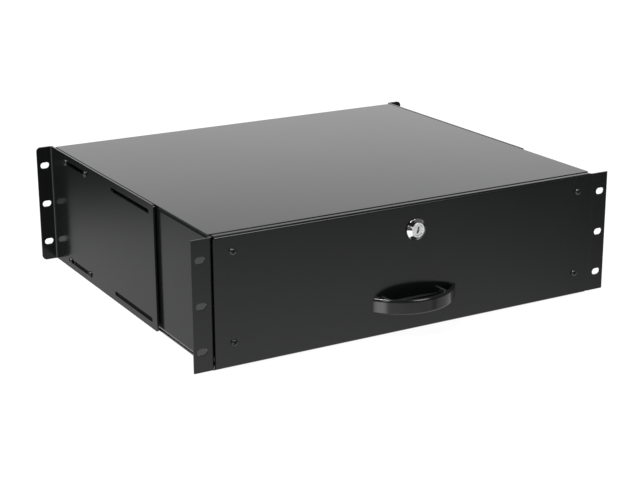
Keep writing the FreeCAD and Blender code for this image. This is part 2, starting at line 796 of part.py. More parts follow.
def pull_handle():
    """A half-moon cup pull, open at its top, with two screw bosses against the drawer front."""
    body = new_body("pull_handle")
    half = size.handle_width / 2
    reach = size.handle_reach
    radius = (half * half + reach * reach) / (2 * reach)
    centre = FACE - reach + radius
    base = sketch_on(body, "handle_outline", "XY_Plane", LOW + " + handle_lift")
    for curve in half_moon(half, FACE, radius, centre):
        base.addGeometry(curve, False)
    solid = body.newObject("PartDesign::Pad", "handle_solid")
    solid.Profile = base
    bind(solid, "Length", "handle_height")
    doc.recompute()

    def on_arc(edge, level):
        flat = abs(edge.BoundBox.ZMax - level) < NEAR and abs(edge.BoundBox.ZMin - level) < NEAR
        return flat and edge.BoundBox.YMin < FACE - reach / 2

    round_edges(body, "handle_bottom_round", "handle_bottom_radius", lambda edge: on_arc(edge, HANDLE_BOTTOM))
    inner_radius = radius - size.handle_wall
    chord = FACE - size.handle_wall
    inner_half = math.sqrt(inner_radius ** 2 - (centre - chord) ** 2)
    cup = sketch_on(body, "handle_cup_outline", "XY_Plane", LOW + " + handle_lift + handle_floor")
    for curve in half_moon(inner_half, chord, inner_radius, centre):
        cup.addGeometry(curve, False)
    hollow = body.newObject("PartDesign::Pocket", "handle_cup")
    hollow.Profile = cup
    hollow.Reversed = True
    bind(hollow, "Length", "handle_height")
    doc.recompute()
    boss = size.handle_boss_diameter / 2
    bosses = [(side * size.handle_screw_spacing / 2, HANDLE_MIDDLE, boss) for side in (-1, 1)]
    pad(body, "handle_bosses", "XZ_Plane", [], "-front_proud - handle_boss_length",
        "handle_boss_length - handle_wall / 2", bosses)
    holes = [(x, z, size.screw_diameter / 2 + size.thread_gap) for x, z, _ in bosses]
    pocket(body, "handle_screw_holes", "XZ_Plane", [], "handle_boss_floor - front_proud - handle_boss_length",
           "handle_boss_length", holes)

    def on_outer_rim(edge):
        return on_arc(edge, HANDLE_TOP) and edge.BoundBox.XLength > 2 * inner_half + size.handle_wall

    round_edges(body, "handle_rim_round", "handle_rim_radius", on_outer_rim)


def handle_screws():
    grip = size.front_sheet + size.tray_sheet
    length = grip + size.handle_boss_length - size.handle_boss_floor - size.handle_screw_gap
    group("handle_screws", [
        pan_screw(V(side * size.handle_screw_spacing / 2, TRAY_WALL_BACK, HANDLE_MIDDLE), V(0, -1, 0), length)
        for side in (-1, 1)
    ])


# Cam lock


def lock():
    """The lock's chromed housing with its nut, and the plug, cam and screw that turn."""
    bore = size.plug_diameter / 2 + size.plug_gap
    barrel_rear = CAM_FRONT - size.barrel_end_gap
    flange = size.lock_flange_diameter / 2
    bezel = size.bezel_diameter / 2
    bezel_base = size.bezel_base_diameter / 2
    front = FACE - size.bezel_reach
    housing = new_body("lock_housing")
    flange_front = FACE - size.lock_flange_thickness
    revolve(housing, "lock_shell", [
        (bore, front, 0),
        (bezel - size.bezel_chamfer, front, 0),
        (bezel, front + size.bezel_chamfer, 0),
        (bezel_base, flange_front, 0),
        (flange - size.lock_flange_chamfer, flange_front, 0),
        (flange, flange_front + size.lock_flange_chamfer, 0),
        (flange, FACE, 0),
        (size.barrel_diameter / 2, FACE, 0),
        (size.barrel_diameter / 2, barrel_rear, 0),
        (bore, barrel_rear, 0),
    ], LOCK_AT)
    group("lock_nut", [hex_nut(
        V(0, TRAY_WALL_BACK, LOCK_LEVEL), V(0, 1, 0), size.lock_nut_flats,
        size.barrel_diameter / 2 + size.thread_gap, size.lock_nut_thickness,
    )])
    plug = new_body("lock_plug")
    plug_front = front + size.plug_recess
    plug_radius = size.plug_diameter / 2
    revolve(plug, "plug_barrel", [
        (0, plug_front, 0),
        (plug_radius - size.plug_chamfer, plug_front, 0),
        (plug_radius, plug_front + size.plug_chamfer, 0),
        (plug_radius, CAM_FRONT, 0),
        (0, CAM_FRONT, 0),
    ], LOCK_AT)
    square = size.cam_square / 2
    tenon = rectangle(-square, square, LOCK_LEVEL - square, LOCK_LEVEL + square)
    cam_front = "cover_setback + cover_channel_return + cam_gap"
    pad(plug, "plug_tenon", "XZ_Plane", [tenon], cam_front, "cam_sheet")
    wide = size.keyway_width / 2
    tall = size.keyway_height / 2
    keyway = rectangle(-wide, wide, LOCK_LEVEL - tall, LOCK_LEVEL + tall, wide * NEARLY_ROUND)
    pocket(plug, "plug_keyway", "XZ_Plane", [keyway], "-front_proud - bezel_reach", "keyway_depth")
    thread = size.cam_screw_diameter / 2 + size.thread_gap
    screw_start = cam_front + " + cam_sheet - cam_screw_length"
    pocket(plug, "plug_thread", "XZ_Plane", [], screw_start, "cam_screw_length", [(0, LOCK_LEVEL, thread)])
    cam = new_body("lock_cam")
    half = size.cam_width / 2
    blade = [
        (-half, LOCK_LEVEL - half, half * NEARLY_ROUND),
        (size.cam_reach, LOCK_LEVEL - half, size.cam_tip_radius),
        (size.cam_reach, LOCK_LEVEL + half, size.cam_tip_radius),
        (-half, LOCK_LEVEL + half, half * NEARLY_ROUND),
    ]
    pad(cam, "cam_blade", "XZ_Plane", [blade], cam_front, "cam_sheet")
    grip = square + size.cam_fit
    hole = rectangle(-grip, grip, LOCK_LEVEL - grip, LOCK_LEVEL + grip)
    pocket(cam, "cam_hole", "XZ_Plane", [hole], cam_front, "cam_sheet")
    shank = size.cam_screw_diameter / 2
    length = size.cam_screw_length - size.screw_tail
    head = size.cam_screw_head_diameter / 2
    corners = crowned_head(head, size.cam_screw_head_height, size.cam_screw_head_crown)
    corners += [(shank, 0), (shank, length), (0, length)]
    group("cam_screw", [turned(corners, V(0, CAM_FRONT + size.cam_sheet, LOCK_LEVEL), V(0, -1, 0))])


# Rear brackets


def rear_bracket(side_name, side):
    """An adjustable rear bracket: a plate along the housing's side, folded out into a rear ear."""
    name = side_name + "_rear_bracket"
    body = new_body(name)
    section = folded(
        [(size.rack_width / 2, BRACKET_REAR), (BRACKET_IN, BRACKET_REAR), (BRACKET_IN, BRACKET_FRONT)],
        size.bracket_sheet,
        size.bracket_bend,
    )
    pad(body, name + "_section", "XY_Plane", [mirrored(section, side)], LOW + " - bracket_rise",
        "housing_height + 2 * bracket_rise")
    pocket(body, name + "_rack_slots", "XZ_Plane", rack_slots(side),
           "housing_depth + bracket_standoff - bracket_sheet", "bracket_sheet")
    slots = []
    for rise in (-ADJUST_RISE, ADJUST_RISE):
        for start, end in (
            (FRONT_SLOT_START, FRONT_SLOT_START + size.front_slot_length),
            (REAR_SLOT_START, REAR_SLOT_END),
        ):
            slots.append(slot(start, end, rise, size.adjust_slot_width))
    plate_start = BODY_HALF + " + bracket_gap"
    if side < 0:
        plate_start = "-(%s + bracket_sheet)" % plate_start
    pocket(body, name + "_adjusting_slots", "YZ_Plane", slots, plate_start, "bracket_sheet")

    def at_ear_corner(edge):
        box = edge.BoundBox
        outermost = min(abs(box.XMin), abs(box.XMax)) > size.rack_width / 2 - NEAR
        return outermost and box.ZLength < NEAR < box.YLength

    def at_front_corner(edge):
        box = edge.BoundBox
        return box.YMax < BRACKET_FRONT + NEAR and box.ZLength < NEAR

    round_edges(body, name + "_ear_corners", "bracket_corner", at_ear_corner)
    round_edges(body, name + "_front_corners", "bracket_front_corner", at_front_corner)


def bracket_fasteners(side_name, side):
    """Screws with nuts inside the housing wall, and the spacers that hold the bracket off the wall."""
    inward = V(-side, 0, 0)
    hole = size.screw_diameter / 2 + size.thread_gap
    length = BRACKET_OUT - WALL_IN + size.nut_thickness + size.screw_tail
    screws = []
    nuts = []
    spacers = []
    for along in BRACKET_SCREWS_AT:
        for rise in (-ADJUST_RISE, ADJUST_RISE):
            screws.append(pan_screw(V(side * BRACKET_OUT, along, rise), inward, length))
            inside = V(side * WALL_IN, along, rise)
            between = V(side * BRACKET_IN, along, rise)
            nuts.append(hex_nut(inside, inward, size.nut_flats, hole, size.nut_thickness))
            spacers.append(washer(between, inward, size.spacer_diameter / 2, hole, size.bracket_gap))
    group(side_name + "_bracket_screws", screws)
    group(side_name + "_bracket_nuts", nuts)
    group(side_name + "_bracket_spacers", spacers)


def check_document():
    """Stops before writing if any object failed or any piece has no valid shape."""
    doc.recompute()
    for thing in doc.Objects:
        if "Invalid" in thing.State or "Error" in thing.State:
            raise RuntimeError("%s failed: %s" % (thing.Label, thing.State))
    for piece in exported:
        if piece.Shape.isNull() or not piece.Shape.isValid():
            raise RuntimeError("%s has no valid shape" % piece.Label)


for side_name, side in SIDES.items():
    side_panel(side_name + "_side_panel", side)
    slide_members(side_name, side)
    slide_cages(side_name, side)
    rear_bracket(side_name, side)
    bracket_fasteners(side_name, side)
top_cover()
base_pan()
rear_panel()
slide_rivets()
drawer_front()
drawer_tray()
tray_front_wall()
tray_rear_wall()
face_fasteners()
pull_handle()
handle_screws()
lock()
check_document()
os.makedirs("parts", exist_ok=True)
for piece in exported:
    piece.Shape.exportStep("parts/%s.step" % piece.Label)
    box = piece.Shape.BoundBox
    print("%-28s solids %2d  x %.1f %.1f  y %.1f %.1f  z %.1f %.1f" % (
        piece.Label, len(piece.Shape.Solids), box.XMin, box.XMax, box.YMin, box.YMax, box.ZMin, box.ZMax))
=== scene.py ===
"""The looks of the sliding rack drawer: finishes, small parts in full detail, studio and camera.

Everything is in metres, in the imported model's frame: +X right, +Y to the rear, +Z up.
"""

import json
import math

import bmesh
import bpy
from mathutils import Matrix, Vector


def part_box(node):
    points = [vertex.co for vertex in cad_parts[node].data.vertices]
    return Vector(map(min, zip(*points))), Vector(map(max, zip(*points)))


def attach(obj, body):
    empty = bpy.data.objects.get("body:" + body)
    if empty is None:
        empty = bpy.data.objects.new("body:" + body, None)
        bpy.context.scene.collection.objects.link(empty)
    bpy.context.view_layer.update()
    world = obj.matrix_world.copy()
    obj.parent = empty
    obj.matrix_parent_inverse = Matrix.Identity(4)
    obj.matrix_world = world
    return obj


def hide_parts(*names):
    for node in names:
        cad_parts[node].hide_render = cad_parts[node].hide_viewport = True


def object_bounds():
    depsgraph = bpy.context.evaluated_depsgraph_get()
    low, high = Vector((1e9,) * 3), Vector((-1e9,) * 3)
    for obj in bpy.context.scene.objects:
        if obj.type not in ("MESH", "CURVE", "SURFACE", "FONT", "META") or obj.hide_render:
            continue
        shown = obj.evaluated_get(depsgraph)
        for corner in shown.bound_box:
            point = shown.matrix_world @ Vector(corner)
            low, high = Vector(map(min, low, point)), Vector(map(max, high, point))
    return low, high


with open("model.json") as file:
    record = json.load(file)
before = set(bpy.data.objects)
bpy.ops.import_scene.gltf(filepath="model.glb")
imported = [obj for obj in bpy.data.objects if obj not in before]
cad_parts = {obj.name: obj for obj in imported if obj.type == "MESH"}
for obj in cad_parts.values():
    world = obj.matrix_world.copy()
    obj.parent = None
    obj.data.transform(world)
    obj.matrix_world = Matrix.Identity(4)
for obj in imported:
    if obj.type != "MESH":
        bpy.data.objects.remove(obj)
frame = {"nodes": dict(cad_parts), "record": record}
CAD_BOX = [list(corner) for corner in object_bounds()]
nodes = frame["nodes"]

MM = 0.001
RIGHT_ANGLE = math.radians(90)


# Finishes


class Finish:
    """A material with a principled shader and short ways to add the nodes that feed it."""

    def __init__(self, name, **settings):
        self.material = bpy.data.materials.new(name)
        self.material.use_nodes = True
        self.tree = self.material.node_tree
        self.shader = self.tree.nodes["Principled BSDF"]
        for socket, value in settings.items():
            self.shader.inputs[socket.replace("_", " ")].default_value = value
        self.place = self.tree.nodes.new("ShaderNodeTexCoord").outputs["Object"]

    def node(self, kind, **properties):
        made = self.tree.nodes.new(kind)
        for name, value in properties.items():
            setattr(made, name, value)
        return made

    def link(self, output, target):
        self.tree.links.new(output, target)

    def stretched(self, factors):
        """The object's own coordinates, scaled along each axis."""
        mapping = self.node("ShaderNodeMapping")
        mapping.inputs["Scale"].default_value = factors
        self.link(self.place, mapping.inputs["Vector"])
        return mapping.outputs["Vector"]

    def noise(self, scale, detail=2.0, roughness=0.5, place=None):
        made = self.node("ShaderNodeTexNoise")
        made.inputs["Scale"].default_value = scale
        made.inputs["Detail"].default_value = detail
        made.inputs["Roughness"].default_value = roughness
        self.link(place or self.place, made.inputs["Vector"])
        return made.outputs["Fac"]

    def spread(self, factor, low, high, start=0.3, end=0.7):
        """Maps a noise's middle range onto low to high."""
        made = self.node("ShaderNodeMapRange")
        made.inputs["From Min"].default_value = start
        made.inputs["From Max"].default_value = end
        made.inputs["To Min"].default_value = low
        made.inputs["To Max"].default_value = high
        self.link(factor, made.inputs["Value"])
        return made.outputs["Result"]

    def colour(self, factor, first, second):
        """Blends two colours by a factor into the base colour."""
        made = self.node("ShaderNodeMix", data_type="RGBA")
        made.inputs["A"].default_value = (*first, 1)
        made.inputs["B"].default_value = (*second, 1)
        self.link(factor, made.inputs["Factor"])
        self.link(made.outputs["Result"], self.shader.inputs["Base Color"])

    def maths(self, operation, first, second=0.0):
        """A maths node on sockets or plain numbers."""
        made = self.node("ShaderNodeMath", operation=operation)
        for index, value in enumerate((first, second)):
            if isinstance(value, float):
                made.inputs[index].default_value = value
            else:
                self.link(value, made.inputs[index])
        return made.outputs["Value"]

    def towards(self, direction, start, end):
        """0 to 1 as the surface turns to face a direction, by the cosine between the two."""
        way = self.node("ShaderNodeTexCoord").outputs["Normal"]
        cosine = self.node("ShaderNodeVectorMath", operation="DOT_PRODUCT")
        cosine.inputs[1].default_value = direction
        self.link(way, cosine.inputs[0])
        return self.spread(cosine.outputs["Value"], 0, 1, start, end)

    def between(self, share, first, second):
        """Goes from one value to another by a share."""
        made = self.node("ShaderNodeMix")
        for socket, value in zip(("Factor", "A", "B"), (share, first, second)):
            self.link(value, made.inputs[socket])
        return made.outputs["Result"]

    def roughness(self, value):
        self.link(value, self.shader.inputs["Roughness"])

    def bumps(self, *layers):
        """Stacks bump layers of (height, strength, depth in metres)."""
        normal = None
        for height, strength, depth in layers:
            made = self.node("ShaderNodeBump")
            made.inputs["Strength"].default_value = strength
            made.inputs["Distance"].default_value = depth
            self.link(height, made.inputs["Height"])
            if normal:
                self.link(normal, made.inputs["Normal"])
            normal = made.outputs["Normal"]
        self.link(normal, self.shader.inputs["Normal"])


def powder_coat():
    """Satin black powder coat: a faint orange peel, fine grain and slow drifts of tone."""
    finish = Finish("black_powder_coat_finish", IOR=1.5)
    drift = finish.noise(9, detail=3)
    peel = finish.noise(420, detail=2)
    grain = finish.noise(2600, detail=2, roughness=0.7)
    finish.colour(finish.spread(drift, 0, 1), (0.0036, 0.0042, 0.0040), (0.0046, 0.0053, 0.0051))
    finish.roughness(finish.spread(drift, 0.145, 0.165))
    finish.bumps((peel, 0.10, 0.05 * MM), (grain, 0.12, 0.02 * MM))
    return finish.material


def black_zinc():
    """Black zinc on the screws: darker in its blotches, with a faint plating grain."""
    finish = Finish("black_zinc_finish", Metallic=0.75)
    blotch = finish.noise(350, detail=4)
    finish.colour(finish.spread(blotch, 0, 1), (0.040, 0.041, 0.043), (0.066, 0.066, 0.069))
    finish.roughness(finish.spread(blotch, 0.15, 0.24))
    finish.bumps((finish.noise(3000), 0.15, 0.02 * MM))
    return finish.material


def zinc_plate():
    """Bright zinc plate drawn along the slides: fine lines lengthwise and a soft bluish spangle."""
    finish = Finish("zinc_plated_steel_finish", Metallic=1.0)
    spangle = finish.noise(55, detail=4)
    lines = finish.noise(1, detail=4, roughness=0.6, place=finish.stretched((1500, 18, 1500)))
    finish.colour(finish.spread(spangle, 0, 1), (0.50, 0.52, 0.54), (0.62, 0.63, 0.64))
    finish.roughness(finish.spread(lines, 0.24, 0.38))
    finish.bumps((lines, 0.12, 0.03 * MM))
    return finish.material


def bearing_steel():
    """Polished ball steel with the lightest film of grease."""
    finish = Finish("bearing_steel_finish", Metallic=1.0)
    film = finish.noise(600, detail=2)
    finish.colour(finish.spread(film, 0, 1), (0.66, 0.67, 0.69), (0.76, 0.76, 0.77))
    finish.roughness(finish.spread(film, 0.06, 0.14))
    finish.bumps((film, 0.03, 0.02 * MM))
    return finish.material


def gloss_plastic():
    """Polished black plastic of the pull: nearly a mirror, with slight waves and dust-fine wear."""
    finish = Finish("gloss_black_plastic_finish", IOR=1.47)
    waves = finish.noise(60, detail=1)
    wear = finish.noise(900, detail=3)
    finish.colour(finish.spread(waves, 0, 1), (0.0055, 0.0058, 0.0058), (0.0085, 0.0088, 0.0088))
    finish.roughness(finish.spread(wear, 0.09, 0.16))
    finish.bumps((waves, 0.04, 0.2 * MM), (wear, 0.03, 0.02 * MM))
    return finish.material


def chrome_plate():
    """Chrome plate: bright on the turned bezel, satin on the brushed front of the lock."""
    finish = Finish("chrome_plate_finish", Metallic=1.0)
    film = finish.noise(260, detail=3)
    finish.colour(finish.spread(film, 0, 1), (0.91, 0.92, 0.92), (0.98, 0.98, 0.98))
    bright = finish.spread(film, 0.06, 0.13)
    satin = finish.spread(finish.noise(900, detail=3), 0.54, 0.64)
    finish.roughness(finish.between(finish.towards((0, -1, 0), 0.93, 0.99), bright, satin))
    finish.bumps((finish.noise(1500), 0.03, 0.02 * MM))
    return finish.material


FINISHES = {
    "black_powder_coat": powder_coat(),
    "black_zinc_steel": black_zinc(),
    "zinc_plated_steel": zinc_plate(),
    "bearing_steel": bearing_steel(),
    "gloss_black_plastic": gloss_plastic(),
    "chrome_plate": chrome_plate(),
}


def dress_cad_nodes():
    """Gives each CAD node the finish of its material slot in the record."""
    for subpart in frame["record"]["subparts"]:
        for slot in nodes[subpart["node"]].material_slots:
            slot.material = FINISHES[subpart["material_slot"]]


# Pieces

WELD_DISTANCE = 0.0005 * MM


def merged(mesh):
    """The mesh as a bmesh with its split corners joined."""
    shape = bmesh.new()
    shape.from_mesh(mesh)
    bmesh.ops.remove_doubles(shape, verts=shape.verts, dist=WELD_DISTANCE)
    return shape


def solids(node):
    """The corner points of each separate solid of a CAD node."""
    shape = merged(nodes[node].data)
    waiting = set(shape.verts)
    found = []
    while waiting:
        start = next(vert for vert in shape.verts if vert in waiting)
        group = [start]
        waiting.discard(start)
        for vert in group:
            for edge in vert.link_edges:
                other = edge.other_vert(vert)
                if other in waiting:
                    waiting.discard(other)
                    group.append(other)
        found.append([vert.co.copy() for vert in group])
    shape.free()
    return found


def box_of(points):
    low = Vector(min(point[axis] for point in points) for axis in range(3))
    high = Vector(max(point[axis] for point in points) for axis in range(3))
    return low, high


def mesh_from(shape, name):
    bmesh.ops.recalc_face_normals(shape, faces=shape.faces)
    mesh = bpy.data.meshes.new(name)
    shape.to_mesh(mesh)
    shape.free()
    return mesh


def lathe(profile, segments=48):
    """A closed solid turned round Z from (radius, height) corners; radius 0 lies on the axis."""
    shape = bmesh.new()
    rings = []
    for radius, height in profile:
        if radius == 0:
            rings.append([shape.verts.new((0, 0, height))])
            continue
        ring = []
        for index in range(segments):
            angle = math.tau * index / segments
            x, y = radius * math.cos(angle), radius * math.sin(angle)
            ring.append(shape.verts.new((x, y, height)))
        rings.append(ring)
    closed = profile[0][0] != 0
    pairs = list(zip(rings, rings[1:] + rings[:1])) if closed else list(zip(rings, rings[1:]))
    for first, second in pairs:
        for index in range(segments):
            after = (index + 1) % segments
            corners = [first[index % len(first)], first[after % len(first)],
                       second[after % len(second)], second[index % len(second)]]
            corners = list(dict.fromkeys(corners))
            if len(corners) > 2:
                shape.faces.new(corners)
    return shape


def tapered_prism(first, first_height, second, second_height):
    """A closed solid between two (x, y) outlines of as many corners, each at its own height."""
    shape = bmesh.new()
    ends = [
        [shape.verts.new((x, y, height)) for x, y in outline]
        for outline, height in ((first, first_height), (second, second_height))
    ]
    for end in ends:
        shape.faces.new(end)
    for index in range(len(first)):
        after = (index + 1) % len(first)
        shape.faces.new((ends[0][index], ends[0][after], ends[1][after], ends[1][index]))
    return shape


def prism(outline, low, high):
    """A closed straight solid over an (x, y) outline."""
    return tapered_prism(outline, low, outline, high)


def oblong(x_low, x_high, y_low, y_high):
    return [(x_low, y_low), (x_high, y_low), (x_high, y_high), (x_low, y_high)]


def evaluated(holder, name):
    """The mesh that an object's modifiers make; the holder is then deleted."""
    bpy.context.view_layer.update()
    graph = bpy.context.evaluated_depsgraph_get()
    mesh = bpy.data.meshes.new_from_object(holder.evaluated_get(graph))
    mesh.name = name
    bpy.data.objects.remove(holder)
    return mesh


def combined(operation, first, second, name):
    """Cuts the second closed mesh out of the first, or keeps what both share."""
    holder = bpy.data.objects.new(name + "_work", first)
    tool = bpy.data.objects.new(name + "_tool", second)
    bpy.context.scene.collection.objects.link(holder)
    bpy.context.scene.collection.objects.link(tool)
    modifier = holder.modifiers.new("cut", "BOOLEAN")
    modifier.operation = operation
    modifier.solver = "EXACT"
    modifier.object = tool
    mesh = evaluated(holder, name)
    bpy.data.objects.remove(tool)
    return mesh


def shade_by_area(holder, keep_sharp):
    """Lets the larger faces set the normals, so that flats beside rounded edges shade flat."""
    flat = holder.modifiers.new("flat", "WEIGHTED_NORMAL")
    flat.mode = "FACE_AREA"
    flat.weight = 100
    flat.keep_sharp = keep_sharp


def add_piece(name, mesh, body, slot, replaced, sharp=30):
    """Shows a mesh as a piece that rides on a body and stands for the CAD nodes it replaces.

    Edges sharper than the sharp angle, in degrees, stay crisp.
    Without that angle the mesh keeps its own normals.
    """
    piece = bpy.data.objects.new(name, mesh)
    bpy.context.scene.collection.objects.link(piece)
    mesh.materials.clear()
    mesh.materials.append(FINISHES[slot])
    if sharp is not None:
        mesh.shade_smooth()
        mesh.set_sharp_from_angle(angle=math.radians(sharp))
        shade_by_area(piece, keep_sharp=True)
    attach(piece, body)
    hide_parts(*replaced)


def joined(meshes_and_places, name):
    """One mesh of several, each under its own placement."""
    shape = bmesh.new()
    for mesh, place in meshes_and_places:
        part = bmesh.new()
        part.from_mesh(mesh)
        part.transform(place)
        copy = bpy.data.meshes.new("part")
        part.to_mesh(copy)
        part.free()
        shape.from_mesh(copy)
        bpy.data.meshes.remove(copy)
    return mesh_from(shape, name)


EASED_EDGE = 0.35 * MM
FLAT_WITHIN = math.radians(0.5)
EASED_BEYOND = math.radians(40)


def eased_sheet(node, body, slot):
    """The CAD sheet with whole flat faces and eased edges, as pressed and coated metal has."""
    shape = merged(nodes[node].data)
    for face in shape.faces:
        face.smooth = True
    sheet = bpy.data.meshes.new(node + "_work")
    shape.to_mesh(sheet)
    shape.free()
    holder = bpy.data.objects.new(node + "_work", sheet)
    bpy.context.scene.collection.objects.link(holder)
    plain = holder.modifiers.new("plain", "DECIMATE")
    plain.decimate_type = "DISSOLVE"
    plain.angle_limit = FLAT_WITHIN
    ease = holder.modifiers.new("ease", "BEVEL")
    ease.limit_method = "ANGLE"
    ease.angle_limit = EASED_BEYOND
    ease.width = EASED_EDGE
    ease.segments = 2
    ease.use_clamp_overlap = True
    ease.miter_outer = "MITER_ARC"
    shade_by_area(holder, keep_sharp=False)
    mesh = evaluated(holder, node + "_eased")
    add_piece(node + "_eased", mesh, body, slot, [node], sharp=None)


# Fasteners


class Fastener:
    """The axis and the sizes of one screw or nut, read from its CAD solid."""

    def __init__(self, points, thin):
        self.low, self.high = box_of(points)
        self.middle = (self.low + self.high) / 2
        self.spans = self.high - self.low
        order = sorted(range(3), key=lambda axis: self.spans[axis])
        self.axis = order[0] if thin else order[2]

    def out_from_axis(self, point):
        away = point - self.middle
        away[self.axis] = 0
        return away.length

    def placement(self, origin, inward):
        """Local Z runs inward along the axis, and local X along the next axis that crosses it."""
        across = Vector((0, 0, 0))
        across[(self.axis + 1) % 3] = 1
        facing = Matrix((across, inward.cross(across), inward)).transposed().to_4x4()
        return Matrix.Translation(origin) @ facing


THREAD_DEPTH = 0.54
THREAD_START = 0.3
THREAD_SIDES = 20
STEPS_A_TURN = 6


def thread(radius, start, end, pitch):
    """A solid rod with a helical thread between two heights, run out at its tip."""
    shape = bmesh.new()
    depth = THREAD_DEPTH * pitch
    count = int((end - start) / pitch * STEPS_A_TURN) + 1
    rings = []
    for level in range(count + 1):
        height = start + (end - start) * level / count
        ring = []
        for index in range(THREAD_SIDES):
            turn = index / THREAD_SIDES
            phase = ((height - start) / pitch - turn) % 1.0
            crest = abs(2 * phase - 1)
            taper = min(1.0, (end - height) / pitch, (height - start) / pitch + THREAD_START)
            reach = radius - depth * (1 - crest * max(taper, 0.0))
            angle = math.tau * turn
            ring.append(shape.verts.new((reach * math.cos(angle), reach * math.sin(angle), height)))
        rings.append(ring)
    for first, second in zip(rings, rings[1:]):
        for index in range(THREAD_SIDES):
            after = (index + 1) % THREAD_SIDES
            shape.faces.new((first[index], first[after], second[after], second[index]))
    shape.faces.new(rings[0])
    shape.faces.new(rings[-1])
    return shape


# A pan head's form, as shares of its radius and of its height.
SKIRT_HEIGHT = 0.32
SHOULDER_RADIUS = 0.42
SHOULDER_HEIGHT = 0.62
RECESS_WIDTH = 0.17
RECESS_REACH = 0.62
RECESS_FLOOR = 0.10
RECESS_FLOOR_SCALE = 0.45
RECESS_MOUTH = 1.1
RECESS_MOUTH_SCALE = 1.06


def pan_head(radius, tall):
    """A pan head with a cross recess: its seat is at height 0 and its crown at -tall."""
    profile = [(0, 0), (0.96, 0), (1, 0.05), (1, SKIRT_HEIGHT)]
    for step in range(1, 9):
        angle = RIGHT_ANGLE * step / 9
        out = SHOULDER_RADIUS + (1 - SHOULDER_RADIUS) * math.cos(angle)
        profile.append((out, SKIRT_HEIGHT + SHOULDER_HEIGHT * math.sin(angle)))
    profile += [(0.36, 0.965), (0.16, 0.993), (0, 1)]
    head = mesh_from(lathe([(radius * out, -tall * up) for out, up in profile], 40), "head")
    wide = RECESS_WIDTH * radius
    far = RECESS_REACH * radius
    cross = [
        (-wide, -far), (wide, -far), (wide, -wide), (far, -wide), (far, wide), (wide, wide),
        (wide, far), (-wide, far), (-wide, wide), (-far, wide), (-far, -wide), (-wide, -wide),
    ]
    recess = tapered_prism(
        [(x * RECESS_FLOOR_SCALE, y * RECESS_FLOOR_SCALE) for x, y in cross], -RECESS_FLOOR * tall,
        [(x * RECESS_MOUTH_SCALE, y * RECESS_MOUTH_SCALE) for x, y in cross], -RECESS_MOUTH * tall,
    )
    return combined("DIFFERENCE", head, mesh_from(recess, "recess"), "recessed_head")


COARSE_PITCH = 0.7 * MM
FINE_PITCH = 0.5 * MM
SUNK_IN_HEAD = 0.1 * MM
RIM_BEYOND = 0.97
SHANK_WITHIN = 0.9
FIRST_TURN = math.radians(45)
NEXT_TURN = math.radians(23)


def screws(name, node, body, slot, pitch=COARSE_PITCH):
    """The node's screws with recessed heads and real threads, each where its CAD solid is."""
    made = {}
    placed = []
    for index, points in enumerate(solids(node)):
        screw = Fastener(points, thin=False)
        reach = max(screw.out_from_axis(point) for point in points)
        rim = [point[screw.axis] for point in points
               if screw.out_from_axis(point) > RIM_BEYOND * reach]
        head_high = sum(rim) / len(rim) > screw.middle[screw.axis]
        seat = min(rim) if head_high else max(rim)
        crown, tip = screw.low[screw.axis], screw.high[screw.axis]
        if head_high:
            crown, tip = tip, crown
        tall = abs(crown - seat)
        length = abs(tip - seat)
        shank = max(screw.out_from_axis(point) for point in points
                    if abs(point[screw.axis] - tip) < SHANK_WITHIN * length)
        inward = Vector((0, 0, 0))
        inward[screw.axis] = math.copysign(1, tip - seat)
        origin = screw.middle.copy()
        origin[screw.axis] = seat
        key = tuple(round(value / MM, 2) for value in (reach, tall, shank, length))
        if key not in made:
            rod = thread(shank, -SUNK_IN_HEAD, length, pitch)
            made[key] = (pan_head(reach, tall), mesh_from(rod, "shank"))
        spin = Matrix.Rotation(FIRST_TURN + NEXT_TURN * index, 4, "Z")
        place = screw.placement(origin, inward)
        placed.append((made[key][0], place @ spin))
        placed.append((made[key][1], place))
    add_piece(name, joined(placed, name), body, slot, [node])


def nuts(name, node, body, slot):
    """The node's hexagon nuts with chamfered corners and a countersunk bore."""
    made = {}
    placed = []
    for points in solids(node):
        nut = Fastener(points, thin=True)
        tall = nut.spans[nut.axis]
        across = [nut.spans[(nut.axis + step) % 3] for step in (1, 2)]
        flats = min(across)
        bore = min(nut.out_from_axis(point) for point in points)
        first_corner = 0 if across[0] > across[1] else 30
        key = tuple(round(value / MM, 2) for value in (tall, flats, bore)) + (first_corner,)
        if key not in made:
            made[key] = hexagon(tall, flats, bore, first_corner)
        inward = Vector((0, 0, 0))
        inward[nut.axis] = 1
        origin = nut.middle.copy()
        origin[nut.axis] = nut.low[nut.axis]
        placed.append((made[key], nut.placement(origin, inward)))
    add_piece(name, joined(placed, name), body, slot, [node])


# A nut's chamfers: where they start as a share of the flats, how far they reach as a share of the
# corners, and the countersink as a share of the bore.
CHAMFER_START = 0.47
CHAMFER_REACH = 1.02
CHAMFER_ANGLE = math.radians(30)
COUNTERSINK = 0.12


def hexagon(tall, flats, bore, first_corner):
    """A hexagon nut from height 0 up, with its first corner at an angle in degrees."""
    corner = flats / math.sqrt(3)
    turns = [math.radians(first_corner + 60 * side) for side in range(6)]
    outline = [(corner * math.cos(turn), corner * math.sin(turn)) for turn in turns]
    start = CHAMFER_START * flats
    far = CHAMFER_REACH * corner
    drop = (far - start) * math.tan(CHAMFER_ANGLE)
    barrel = lathe([(0, 0), (start, 0), (far, drop), (far, tall - drop), (start, tall), (0, tall)])
    block = mesh_from(prism(outline, 0, tall), "block")
    block = combined("INTERSECT", block, mesh_from(barrel, "barrel"), "block")
    sink = COUNTERSINK * bore
    wide = bore + sink
    tool = lathe([
        (0, -tall), (wide, -tall), (wide, 0), (bore, sink), (bore, tall - sink),
        (wide, tall), (wide, 2 * tall), (0, 2 * tall),
    ], 32)
    return combined("DIFFERENCE", block, mesh_from(tool, "bore"), "nut")


# Lock and pull

